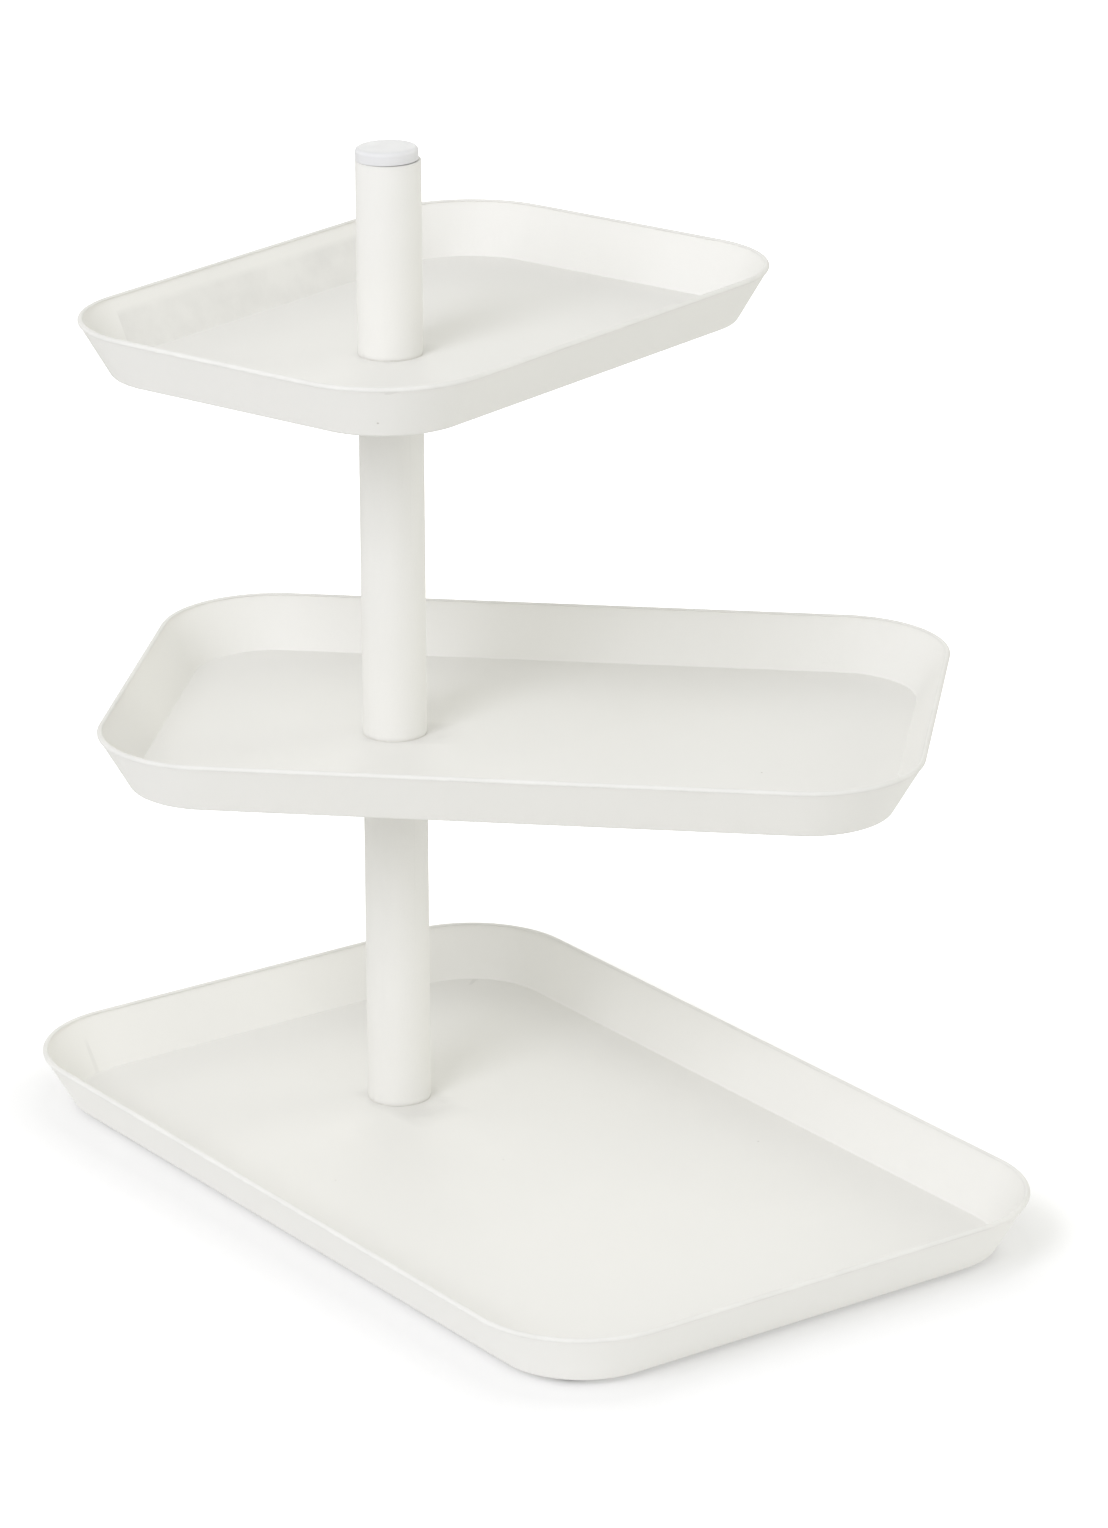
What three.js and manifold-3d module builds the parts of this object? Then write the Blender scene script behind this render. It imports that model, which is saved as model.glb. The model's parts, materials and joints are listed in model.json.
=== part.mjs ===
// A three-tier tray stand. Three flared sheet-metal trays are threaded on one round post, near their
// rear short sides. The post is three lengths of tube. Inserts in the tube ends and threaded studs
// through the trays hold them together, and the upper two trays swivel on thin washers.
// Millimetres and degrees, +Z up. The base tray's long side runs along +X, away from the post.

import * as THREE from 'three';
import { mergeVertices } from 'three/addons/utils/BufferGeometryUtils.js';
import Module from 'manifold-3d';

const wasm = await Module();
wasm.setup();

// ---------------------------------------------------------------- driving dimensions

// Trays: outer length and width at the rim, and the turn about the post.
const BASE_TRAY = { length: 376, width: 242, turn: 0 };
const MIDDLE_TRAY = { length: 315, width: 212, turn: 46.5 };
const TOP_TRAY = { length: 255, width: 181, turn: 106.5 };
const RIM_CORNER_RADIUS = 45;
const TRAY_HEIGHT = 22;
const FLARE = 30; // the wall's lean away from upright
const SHEET = 1.5;
const BEND_RADIUS = 2; // outside of the bend between floor and wall
const POST_FROM_REAR = 104; // from the post's axis to the rim of the rear short side

// Post
const TUBE_RADIUS = 12.5;
const TUBE_WALL = 1.5;
const TUBE_EDGE = 0.3; // broken edge at each tube end
const LOWER_TUBE_LENGTH = 150;
const MIDDLE_TUBE_LENGTH = 150;
const HANDLE_TUBE_LENGTH = 75;

// End cap: a head that stands on the tube's end, and a hollow spigot with two grip rings inside it
const CAP_INSET = 0.5; // from the tube's side in to the head's
const CAP_HEIGHT = 5;
const CAP_EDGE = 1.2;
const SPIGOT_LENGTH = 12;
const SPIGOT_WALL = 1.4;
const GRIP_RING_DEPTHS = [SPIGOT_LENGTH * 0.7, SPIGOT_LENGTH * 0.35]; // below the head, lowest first
const GRIP_RING_REACH = 0.6; // how far a grip ring stands out of the spigot
const GRIP_RING_HEIGHT = 1.2;

// Fasteners
const THREAD_RADIUS = 4;
const INSERT_LENGTH = 16;
const INSERT_EDGE = 0.6;
const THREAD_ENGAGEMENT = 12;
const STUD_SOCKET = 4; // across the flats of the studs' hexagon sockets
const SCREW_SOCKET = 5; // across the flats of the base screw's hexagon socket
const SOCKET_DEPTH = 3;
const SCREW_HEAD_RADIUS = 9;
const SCREW_HEAD_HEIGHT = 1.4;
const SCREW_HEAD_EDGE = 0.5;
const WASHER_INSET = 0.1; // from the tube's side in to a washer's
const WASHER_THICKNESS = 0.3;

// Feet
const FOOT_RADIUS = 6;
const FOOT_HEIGHT = 2;
const FOOT_EDGE = 0.6;
const FOOT_MARGIN = 3; // from a foot's side to the edge of the flat underside

// Clearances
const SEAT_GAP = 0.1; // between faces that rest on each other
const PRESS_GAP = 0.1; // all round a piece pressed or screwed into another
const SWIVEL_GAP = 0.3; // all round a stud in a tray's hole

// Facets
const CORNER_STEPS = 8; // along each round corner of a tray
const BEND_STEPS = 3;
const RIM_STEPS = 4;
const TUBE_SIDES = 36;
const FASTENER_SIDES = 24;
const CAP_EDGE_STEPS = 3;

// ---------------------------------------------------------------- stack along the post

let stackTop = FOOT_HEIGHT;

/** Places a piece of the given thickness on top of the stack and returns the height it starts at. */
function stack(thickness) {
  const start = stackTop + SEAT_GAP;
  stackTop = start + thickness;
  return start;
}

const baseTrayZ = stack(SHEET);
const baseWasherZ = stack(WASHER_THICKNESS);
const lowerTubeZ = stack(LOWER_TUBE_LENGTH);
const middleLowerWasherZ = stack(WASHER_THICKNESS);
const middleTrayZ = stack(SHEET);
const middleUpperWasherZ = stack(WASHER_THICKNESS);
const middleTubeZ = stack(MIDDLE_TUBE_LENGTH);
const topLowerWasherZ = stack(WASHER_THICKNESS);
const topTrayZ = stack(SHEET);
const topUpperWasherZ = stack(WASHER_THICKNESS);
const handleTubeZ = stack(HANDLE_TUBE_LENGTH);
const capZ = stack(CAP_HEIGHT);

const holeRadius = THREAD_RADIUS + SWIVEL_GAP;
const washerRadius = TUBE_RADIUS - WASHER_INSET;
const pressedRadius = TUBE_RADIUS - TUBE_WALL - PRESS_GAP; // of what is pressed into a tube

// ---------------------------------------------------------------- materials

function finish(color, roughness, metalness) {
  return new THREE.MeshStandardMaterial({ color, roughness, metalness });
}

const powderCoat = finish('#ebeae4', 0.55, 0);
const capPlastic = finish('#e2e2e1', 0.45, 0);
const nylon = finish('#e4e3dc', 0.5, 0);
const steel = finish('#b4b6b8', 0.35, 1);
const rubber = finish('#26262a', 0.85, 0);

// ---------------------------------------------------------------- helpers

/** A closed geometry as a solid that can be cut. */
function toSolid(geometry) {
  const bare = geometry.clone();
  bare.deleteAttribute('normal');
  bare.deleteAttribute('uv');
  const merged = mergeVertices(bare, 1e-4);
  const vertProperties = new Float32Array(merged.attributes.position.array);
  const triVerts = new Uint32Array(merged.index.array);
  return new wasm.Manifold(new wasm.Mesh({ numProp: 3, vertProperties, triVerts }));
}

/** The body with the cutter taken away. */
function cut(body, cutter) {
  const mesh = toSolid(body).subtract(toSolid(cutter)).getMesh();
  const geometry = new THREE.BufferGeometry();
  geometry.setAttribute('position', new THREE.BufferAttribute(new Float32Array(mesh.vertProperties), 3));
  geometry.setIndex(new THREE.BufferAttribute(new Uint32Array(mesh.triVerts), 1));
  geometry.computeVertexNormals();
  return geometry;
}

/** A prism or cylinder along Z from z to z + height; radius is to its corners. */
function prism(radius, height, z, sides = FASTENER_SIDES) {
  const geometry = new THREE.CylinderGeometry(radius, radius, height, sides);
  return geometry.rotateX(Math.PI / 2).translate(0, 0, z + height / 2);
}

/** A hexagon socket's cutter of a given width across flats. */
function hexagon(acrossFlats, depth, z) {
  return prism(acrossFlats / Math.sqrt(3), depth, z, 6);
}

/** A body of revolution about Z from [radius, height] pairs, counter-clockwise in that plane. */
function turned(profile, sides = FASTENER_SIDES) {
  const points = profile.map(([radius, height]) => new THREE.Vector2(radius, height));
  return new THREE.LatheGeometry(points, sides).rotateX(Math.PI / 2);
}

/** A ring of rectangular section with broken outer and inner edges. */
function ring(inner, outer, height, edge, sides) {
  const profile = [
    [inner, edge],
    [inner + edge, 0],
    [outer - edge, 0],
    [outer, edge],
    [outer, height - edge],
    [outer - edge, height],
    [inner + edge, height],
    [inner, height - edge],
    [inner, edge],
  ];
  return turned(profile, sides);
}

function washer() {
  const profile = [
    [holeRadius, 0],
    [washerRadius, 0],
    [washerRadius, WASHER_THICKNESS],
    [holeRadius, WASHER_THICKNESS],
    [holeRadius, 0],
  ];
  return turned(profile);
}

// ---------------------------------------------------------------- trays

const flare = THREE.MathUtils.degToRad(FLARE);
const bendTurn = Math.PI / 2 - flare;
const rimCentre = { inset: SHEET / 2, z: TRAY_HEIGHT - SHEET / 2 };
const bendToMidline = BEND_RADIUS - SHEET / 2;
const wallLength = (rimCentre.z + bendToMidline * Math.sin(flare) - BEND_RADIUS) / Math.cos(flare);
const bendCentre = {
  inset: rimCentre.inset + wallLength * Math.sin(flare) + bendToMidline * Math.cos(flare),
  z: BEND_RADIUS,
};

/** Points of an arc of the tray's section. Angle 0 points down, and grows towards the outside. */
function sectionArc(centre, radius, from, to, steps) {
  return Array.from({ length: steps + 1 }, (_, step) => {
    const angle = from + ((to - from) * step) / steps;
    return { inset: centre.inset - radius * Math.sin(angle), z: centre.z - radius * Math.cos(angle) };
  });
}

/** The sheet's section from the underside, out over the rim and in to the floor. */
function traySection() {
  return [
    ...sectionArc(bendCentre, BEND_RADIUS, 0, bendTurn, BEND_STEPS),
    ...sectionArc(rimCentre, SHEET / 2, bendTurn, bendTurn + Math.PI, RIM_STEPS),
    ...sectionArc(bendCentre, BEND_RADIUS - SHEET, bendTurn, 0, BEND_STEPS),
  ];
}

/** The rounded rectangle that lies a given inset inside a tray's rim, counter-clockwise. */
function trayOutline({ length, width }, inset, z) {
  const radius = RIM_CORNER_RADIUS - inset;
  const centreX = length / 2 - POST_FROM_REAR;
  const alongX = length / 2 - RIM_CORNER_RADIUS;
  const alongY = width / 2 - RIM_CORNER_RADIUS;
  const quarters = [[1, 1], [-1, 1], [-1, -1], [1, -1]];
  return quarters.flatMap(([sideX, sideY], quarter) =>
    Array.from({ length: CORNER_STEPS + 1 }, (_, step) => {
      const angle = ((quarter + step / CORNER_STEPS) * Math.PI) / 2;
      const x = centreX + sideX * alongX + radius * Math.cos(angle);
      const y = sideY * alongY + radius * Math.sin(angle);
      return [x, y, z];
    }),
  );
}

/** A closed body through outlines with equal numbers of points; the first and last are flat and convex. */
function loft(outlines) {
  const count = outlines[0].length;
  const index = [];
  const last = (outlines.length - 1) * count;
  for (let start = 0; start < last; start += count) {
    for (let i = 0; i < count; i++) {
      const next = (i + 1) % count;
      index.push(start + i, start + next, start + count + next);
      index.push(start + i, start + count + next, start + count + i);
    }
  }
  for (let i = 1; i + 1 < count; i++) {
    index.push(0, i + 1, i);
    index.push(last, last + i, last + i + 1);
  }
  const geometry = new THREE.BufferGeometry();
  geometry.setAttribute('position', new THREE.Float32BufferAttribute(outlines.flat(2), 3));
  geometry.setIndex(index);
  return geometry;
}

/** A tray with its post hole on the Z axis and its underside at zero. */
function trayGeometry(tray) {
  const outlines = traySection().map(({ inset, z }) => trayOutline(tray, inset, z));
  return cut(loft(outlines), prism(holeRadius, 3 * SHEET, -SHEET));
}

// ---------------------------------------------------------------- post pieces

function tube(length) {
  return ring(TUBE_RADIUS - TUBE_WALL, TUBE_RADIUS, length, TUBE_EDGE, TUBE_SIDES);
}

/** A threaded insert for a tube's end. */
function insert() {
  return ring(THREAD_RADIUS + PRESS_GAP, pressedRadius, INSERT_LENGTH, INSERT_EDGE);
}

/** A threaded stud with a hexagon socket in its lower end, for the middle or the top tray. */
function stud() {
  const length = 2 * THREAD_ENGAGEMENT + SHEET + 2 * WASHER_THICKNESS + 4 * SEAT_GAP;
  const shank = prism(THREAD_RADIUS, length, 0);
  return cut(shank, hexagon(STUD_SOCKET, 2 * SOCKET_DEPTH, -SOCKET_DEPTH));
}

/** How far below its tray's underside a stud starts. */
const studDrop = THREAD_ENGAGEMENT + WASHER_THICKNESS + 2 * SEAT_GAP;

/** The flat-headed screw from below; zero is the head's top face. */
function baseScrew() {
  const shankLength = SHEET + WASHER_THICKNESS + 3 * SEAT_GAP + THREAD_ENGAGEMENT;
  const blank = turned([
    [0, -SCREW_HEAD_HEIGHT],
    [SCREW_HEAD_RADIUS - SCREW_HEAD_EDGE, -SCREW_HEAD_HEIGHT],
    [SCREW_HEAD_RADIUS, SCREW_HEAD_EDGE - SCREW_HEAD_HEIGHT],
    [SCREW_HEAD_RADIUS, 0],
    [THREAD_RADIUS, 0],
    [THREAD_RADIUS, shankLength],
    [0, shankLength],
  ]);
  const socket = hexagon(SCREW_SOCKET, 2 * SOCKET_DEPTH, -SCREW_HEAD_HEIGHT - SOCKET_DEPTH);
  return cut(blank, socket);
}

/** The end cap; zero is the underside of its head. */
function endCap() {
  const headRadius = TUBE_RADIUS - CAP_INSET;
  const core = pressedRadius - GRIP_RING_REACH;
  const headTop = Array.from({ length: CAP_EDGE_STEPS + 1 }, (_, step) => {
    const angle = (step / CAP_EDGE_STEPS) * (Math.PI / 2);
    return [
      headRadius - CAP_EDGE + CAP_EDGE * Math.cos(angle),
      CAP_HEIGHT - CAP_EDGE + CAP_EDGE * Math.sin(angle),
    ];
  });
  const rings = GRIP_RING_DEPTHS.flatMap((depth) => [
    [core, -depth - GRIP_RING_HEIGHT],
    [pressedRadius, -depth - GRIP_RING_HEIGHT / 2],
    [core, -depth],
  ]);
  return turned([
    [0, 0],
    [core - SPIGOT_WALL, 0],
    [core - SPIGOT_WALL, -SPIGOT_LENGTH],
    [core, -SPIGOT_LENGTH],
    ...rings,
    [core, 0],
    [headRadius, 0],
    ...headTop,
    [0, CAP_HEIGHT],
  ], TUBE_SIDES);
}

function foot() {
  return turned([
    [0, 0],
    [FOOT_RADIUS - FOOT_EDGE, 0],
    [FOOT_RADIUS, FOOT_EDGE],
    [FOOT_RADIUS, FOOT_HEIGHT],
    [0, FOOT_HEIGHT],
  ]);
}

// ---------------------------------------------------------------- assembly

const stand = new THREE.Group();

function add(name, geometry, material, z, turn = 0) {
  const mesh = new THREE.Mesh(geometry, material);
  mesh.name = name;
  mesh.position.z = z;
  mesh.rotation.z = THREE.MathUtils.degToRad(turn);
  stand.add(mesh);
  return mesh;
}

add('base_tray', trayGeometry(BASE_TRAY), powderCoat, baseTrayZ, BASE_TRAY.turn);
add('middle_tray', trayGeometry(MIDDLE_TRAY), powderCoat, middleTrayZ, MIDDLE_TRAY.turn);
add('top_tray', trayGeometry(TOP_TRAY), powderCoat, topTrayZ, TOP_TRAY.turn);

add('lower_tube', tube(LOWER_TUBE_LENGTH), powderCoat, lowerTubeZ);
add('middle_tube', tube(MIDDLE_TUBE_LENGTH), powderCoat, middleTubeZ);
add('handle_tube', tube(HANDLE_TUBE_LENGTH), powderCoat, handleTubeZ);
add('end_cap', endCap(), capPlastic, capZ);

add('lower_tube_foot_insert', insert(), steel, lowerTubeZ);
add('lower_tube_head_insert', insert(), steel, lowerTubeZ + LOWER_TUBE_LENGTH - INSERT_LENGTH);
add('middle_tube_foot_insert', insert(), steel, middleTubeZ);
add('middle_tube_head_insert', insert(), steel, middleTubeZ + MIDDLE_TUBE_LENGTH - INSERT_LENGTH);
add('handle_tube_foot_insert', insert(), steel, handleTubeZ);

add('base_screw', baseScrew(), steel, baseTrayZ - SEAT_GAP);
add('middle_stud', stud(), steel, middleTrayZ - studDrop);
add('top_stud', stud(), steel, topTrayZ - studDrop);

add('base_washer', washer(), nylon, baseWasherZ);
add('middle_lower_washer', washer(), nylon, middleLowerWasherZ);
add('middle_upper_washer', washer(), nylon, middleUpperWasherZ);
add('top_lower_washer', washer(), nylon, topLowerWasherZ);
add('top_upper_washer', washer(), nylon, topUpperWasherZ);

// Each foot lies on the diagonal of its corner, inside the flat part of the underside.
const footReach = RIM_CORNER_RADIUS - bendCentre.inset - FOOT_RADIUS - FOOT_MARGIN;
const footAlongX = BASE_TRAY.length / 2 - RIM_CORNER_RADIUS + footReach * Math.SQRT1_2;
const footAlongY = BASE_TRAY.width / 2 - RIM_CORNER_RADIUS + footReach * Math.SQRT1_2;
for (const [end, sideX] of [['front', 1], ['rear', -1]]) {
  for (const [side, sideY] of [['left', 1], ['right', -1]]) {
    const mesh = add(`foot_${end}_${side}`, foot(), rubber, 0);
    mesh.position.x = BASE_TRAY.length / 2 - POST_FROM_REAR + sideX * footAlongX;
    mesh.position.y = sideY * footAlongY;
  }
}

// The origin is the middle of the stand's footprint, on the surface it stands on.
const footprint = new THREE.Box3().setFromObject(stand, true);
const middle = footprint.getCenter(new THREE.Vector3());
stand.position.set(-middle.x, -middle.y, -footprint.min.z);

export default stand;
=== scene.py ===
# %% [markdown]
# # A three-tier tray stand
# Three flared trays of thin sheet steel turn on one round post. Everything is powder coated in a
# warm off-white, so there is no pattern to hide behind: the picture rests on true edges, small
# radii, a fine coat texture and soft light. The first cell loads the engineering model. It fixes
# every size and place, and each piece made below stands for one of its parts.

# %% Load the frame
import json
import math

import bpy
import numpy as np
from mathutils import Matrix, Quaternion, Vector


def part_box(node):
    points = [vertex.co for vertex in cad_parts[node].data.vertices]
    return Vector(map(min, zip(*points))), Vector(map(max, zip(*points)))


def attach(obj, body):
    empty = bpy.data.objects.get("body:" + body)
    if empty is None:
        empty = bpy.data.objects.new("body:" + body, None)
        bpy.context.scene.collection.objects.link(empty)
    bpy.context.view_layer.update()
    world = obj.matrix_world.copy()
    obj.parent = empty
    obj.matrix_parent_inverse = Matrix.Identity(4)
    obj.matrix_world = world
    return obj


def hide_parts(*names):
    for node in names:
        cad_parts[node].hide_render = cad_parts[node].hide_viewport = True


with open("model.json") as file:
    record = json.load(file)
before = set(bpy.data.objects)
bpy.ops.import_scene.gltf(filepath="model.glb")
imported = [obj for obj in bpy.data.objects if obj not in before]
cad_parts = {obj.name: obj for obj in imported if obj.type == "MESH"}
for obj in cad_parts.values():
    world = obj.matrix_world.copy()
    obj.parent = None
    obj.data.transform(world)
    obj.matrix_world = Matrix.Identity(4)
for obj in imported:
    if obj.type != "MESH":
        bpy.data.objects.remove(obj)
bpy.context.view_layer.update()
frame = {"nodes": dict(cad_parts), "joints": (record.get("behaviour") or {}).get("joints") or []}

MM = 0.001
print("nodes in the frame:", len(frame["nodes"]))

# %% [markdown]
# ## Places
# The trays swivel about the post, so the swivel joints say where its axis stands. Heights come
# from the boxes of the frame's nodes. Each tray is modelled square to its own axes with the post
# at zero, and then turned by the angle at which it was left.

# %% Places taken from the frame
post_axis = Vector(frame["joints"][0]["pos_m"])
post_axis.z = 0.0

TRAY_TURNS = {"base_tray": 0.0, "middle_tray": 46.5, "top_tray": 106.5}  # degrees about the post


def level(node):
    """Lowest and highest point of a node, in metres."""
    low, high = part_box(node)
    return low.z, high.z


def height_of(node):
    low, high = level(node)
    return high - low


def radius_of(node):
    """Half the width of a round node."""
    low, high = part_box(node)
    return (high.x - low.x) / 2


def square_box(node, turn):
    """A turned tray's box as it is with its sides along X and Y and the post at zero."""
    points = np.array([v.co for v in frame["nodes"][node].data.vertices])[:, :2]
    points = points - np.array(post_axis)[:2]
    c, s = math.cos(math.radians(turn)), math.sin(math.radians(turn))
    points = points @ np.array([[c, -s], [s, c]])
    return points.min(0), points.max(0)


print("post axis:", [round(v, 4) for v in post_axis])

# %% [markdown]
# ## From rings to a mesh
# Every piece here is a skin stretched over a row of closed rings with the same number of points.
# A lathe part has circles for rings, and a tray has rounded rectangles. One helper joins the
# rings with four-sided faces. It can close the row on itself, as for a tube with a wall, or close
# an end with a fan, as for a rod. Primitives would be quicker, but they have no rounded edges,
# and edges are what catch the light.

# %% Mesh helpers
SHARP_ANGLE = math.radians(50)


def skin(name, rings, looped=False):
    """A mesh through rings of points. Looped joins the last ring to the first, else ends are fanned."""
    rings = [np.asarray(ring, float) for ring in rings]
    count = len(rings[0])
    vertices = [tuple(point) for ring in rings for point in ring]
    faces = []
    for start in range(len(rings) if looped else len(rings) - 1):
        a = start * count
        b = (start + 1) % len(rings) * count
        for i in range(count):
            j = (i + 1) % count
            faces.append((a + i, a + j, b + j, b + i))
    if not looped:
        for ring, first in ((rings[0], 0), (rings[-1], (len(rings) - 1) * count)):
            pole = len(vertices)
            vertices.append(tuple(ring.mean(0)))
            for i in range(count):
                j = (i + 1) % count
                side = (first + j, first + i) if first == 0 else (first + i, first + j)
                faces.append((*side, pole))
    mesh = bpy.data.meshes.new(name)
    mesh.from_pydata(vertices, [], faces)
    mesh.validate()
    mesh.shade_smooth()
    mesh.set_sharp_from_angle(angle=SHARP_ANGLE)
    piece = bpy.data.objects.new(name, mesh)
    bpy.context.scene.collection.objects.link(piece)
    weights = piece.modifiers.new("even shading", "WEIGHTED_NORMAL")
    weights.keep_sharp = True
    return piece


def soften(corners, steps=5, closed=False):
    """Rounds each corner (radius, height, fillet) of a lathe profile with a small arc."""
    out = []
    count = len(corners)
    for i, (r, z, fillet) in enumerate(corners):
        here = np.array([r, z])
        if fillet <= 0 or (not closed and i in (0, count - 1)):
            out.append(here)
            continue
        back = np.array(corners[i - 1][:2]) - here
        on = np.array(corners[(i + 1) % count][:2]) - here
        back, on = back / np.linalg.norm(back), on / np.linalg.norm(on)
        half = math.acos(np.clip(back @ on, -1, 1)) / 2
        cut = fillet / math.tan(half)
        centre = here + (back + on) / np.linalg.norm(back + on) * fillet / math.sin(half)
        first, last = here + back * cut - centre, here + on * cut - centre
        sweep = math.pi - 2 * half
        for step in range(steps + 1):
            t = step / steps
            blend = (math.sin((1 - t) * sweep) * first + math.sin(t * sweep) * last) / math.sin(sweep)
            out.append(centre + blend)
    return out


def circle(radius, z, sides):
    angle = np.arange(sides) / sides * 2 * math.pi
    return np.column_stack([radius * np.cos(angle), radius * np.sin(angle), np.full(sides, z)])


def turned(name, corners, sides=96, steps=5, closed=False):
    """A lathe part about Z. Corners run counter-clockwise in the plane of radius and height."""
    profile = soften(corners, steps, closed)
    return skin(name, [circle(r, z, sides) for r, z in profile], looped=closed)


made = []


def place(piece, node, at, body, slot):
    """Puts a finished piece where its node is, and says what it stands for."""
    piece.location = at
    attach(piece, body)
    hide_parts(node)
    made.append((piece, slot))
    return piece


# %% [markdown]
# ## The trays
# Each tray is pressed from one sheet. The wall leans out at thirty degrees, the bend at its foot
# is small and even, and the rim is trimmed and rounded, which gives the thin bright line along
# every tray. A box with bevels could come close, but its corners would not flare properly. So the
# section of the sheet is drawn once, from the underside round the rim to the floor, and each
# point of it becomes a rounded rectangle that keeps the same distance from the rim all round.
# Powder gathers on a trimmed edge and flows round as it melts, so the rim ends in a soft bead that
# is a little thicker than the sheet.

# %% Tray section
SHEET = 1.5 * MM
TRAY_HEIGHT = 22.0 * MM
FLARE = math.radians(30)
BEND_RADIUS = 2.0 * MM
RIM_CORNER_RADIUS = 45.0 * MM
STUD_HOLE_RADIUS = 4.3 * MM
BEAD_RADIUS = 1.15 * MM
BEAD_LENGTH = 3.0 * MM
BEND_STEPS = 10
BEAD_STEPS = 14
BEAD_RINGS = (1.0, 0.7, 0.45, 0.2)  # shares of the bead's length, from the plain sheet outwards


def arc(centre, radius, first, last, steps):
    """Points (inset, height) of an arc. Angle 0 points down, and grows towards the outside."""
    angles = np.linspace(first, last, steps + 1)
    return [(centre[0] - radius * math.sin(a), centre[1] - radius * math.cos(a)) for a in angles]


def tray_section():
    """The sheet from the underside, out round the rim and in to the floor."""
    bend = math.pi / 2 - FLARE
    rim = (SHEET / 2, TRAY_HEIGHT - SHEET / 2)
    reach = BEND_RADIUS - SHEET / 2
    wall = (rim[1] + reach * math.sin(FLARE) - BEND_RADIUS) / math.cos(FLARE)
    centre = (rim[0] + wall * math.sin(FLARE) + reach * math.cos(FLARE), BEND_RADIUS)
    outside = arc(centre, BEND_RADIUS, 0, bend, BEND_STEPS)
    edge = arc((BEAD_RADIUS, TRAY_HEIGHT - BEAD_RADIUS), BEAD_RADIUS, bend, bend + math.pi, BEAD_STEPS)
    inside = arc(centre, BEND_RADIUS - SHEET, bend, 0, BEND_STEPS)
    down_wall = np.array([math.sin(FLARE), -math.cos(FLARE)])
    swell = [share * BEAD_LENGTH for share in BEAD_RINGS]
    below = []
    for face in (bend, bend + math.pi):
        middle = np.array(arc(rim, SHEET / 2, face, face, 0)[0])
        below.append([tuple(middle + down_wall * way) for way in swell])
    outside += below[0]
    inside = below[1][::-1] + inside
    return outside, edge, inside


outside, edge, inside = tray_section()
flat_inset = inside[-1][0]
print("flat floor starts", round(flat_inset / MM, 2), "mm inside the rim")

# %% [markdown]
# A tray's straight sides need points as well as its corners, so that the flat floor can be
# gathered from the outline to the round hole in even steps. The floor is a fan of rings that
# slide from the outline to the hole, which keeps every face four-sided.

# %% Tray mesh
CORNER_STEPS = 28
SIDE_STEPS = {"long": 36, "short": 22}
FLOOR_STEPS = 14


def tray_outline(low, high, inset, z):
    """The rounded rectangle a given inset inside a tray's rim, counter-clockwise."""
    radius = RIM_CORNER_RADIUS - inset
    centre = (low + high) / 2
    half = (high - low) / 2 - RIM_CORNER_RADIUS
    points = []
    for quarter, (sx, sy) in enumerate(((1, 1), (-1, 1), (-1, -1), (1, -1))):
        middle = centre + half * (sx, sy)
        for step in range(CORNER_STEPS):
            a = (quarter + step / CORNER_STEPS) * math.pi / 2
            points.append(middle + radius * np.array([math.cos(a), math.sin(a)]))
        a = (quarter + 1) * math.pi / 2
        start = middle + radius * np.array([math.cos(a), math.sin(a)])
        along = half * (-2 * sx, 0) if quarter % 2 == 0 else half * (0, -2 * sy)
        steps = SIDE_STEPS["long" if quarter % 2 == 0 else "short"]
        points.extend(start + along * step / steps for step in range(steps))
    points = np.array(points)
    return np.column_stack([points, np.full(len(points), z)])


def towards_hole(outline, share):
    """The ring a given share of the way from an outline to the stud hole."""
    flat = outline[:, :2]
    on_hole = flat / np.linalg.norm(flat, axis=1)[:, None] * STUD_HOLE_RADIUS
    ring = outline.copy()
    ring[:, :2] = flat * (1 - share) + on_hole * share
    return ring


def tray(name, node, turn):
    low, high = square_box(node, turn)
    shell = [tray_outline(low, high, inset, z) for inset, z in outside + edge + inside]
    shares = np.linspace(0, 1, FLOOR_STEPS + 1)[1:]
    underside = [towards_hole(shell[0], share) for share in shares[::-1]]
    floor = [towards_hole(shell[-1], share) for share in shares]
    c, s = math.cos(math.radians(turn)), math.sin(math.radians(turn))
    left_at = np.array([[c, s, 0], [-s, c, 0], [0, 0, 1]])
    return skin(name, [ring @ left_at for ring in underside + shell + floor], looped=True)


for node, turn in TRAY_TURNS.items():
    body = "base_and_post" if node == "base_tray" else node
    at = Vector((post_axis.x, post_axis.y, level(node)[0]))
    piece = place(tray(node + "_pressing", node, turn), node, at, body, "powder_coat")
    print(piece.name, "faces:", len(piece.data.polygons))

# %% [markdown]
# ## The post
# Three lengths of drawn steel tube. The cut ends were deburred before coating, so each end has a
# small round on its outer and inner edge. Only the top end is open to view, around the cap, but
# all three are the same part made to different lengths.

# %% Tubes
TUBE_WALL = 1.5 * MM
TUBE_EDGE = 0.2 * MM
EDGE_BAND = 1.5 * MM  # rings this far in from an edge keep its wear off the plain faces


def tube(name, radius, length):
    bore = radius - TUBE_WALL
    corners = [
        (bore, 0, TUBE_EDGE),
        (radius, 0, TUBE_EDGE),
        (radius, EDGE_BAND, 0),
        (radius, length - EDGE_BAND, 0),
        (radius, length, TUBE_EDGE),
        (bore, length, TUBE_EDGE),
    ]
    return turned(name, corners, sides=144, closed=True)


tube_radius = radius_of("lower_tube")
for node in ("lower_tube", "middle_tube", "handle_tube"):
    at = Vector((post_axis.x, post_axis.y, level(node)[0]))
    piece = tube(node + "_drawn", tube_radius, height_of(node))
    place(piece, node, at, "base_and_post", "powder_coat")
print("tube diameter:", round(2 * tube_radius / MM, 1), "mm")

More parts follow.
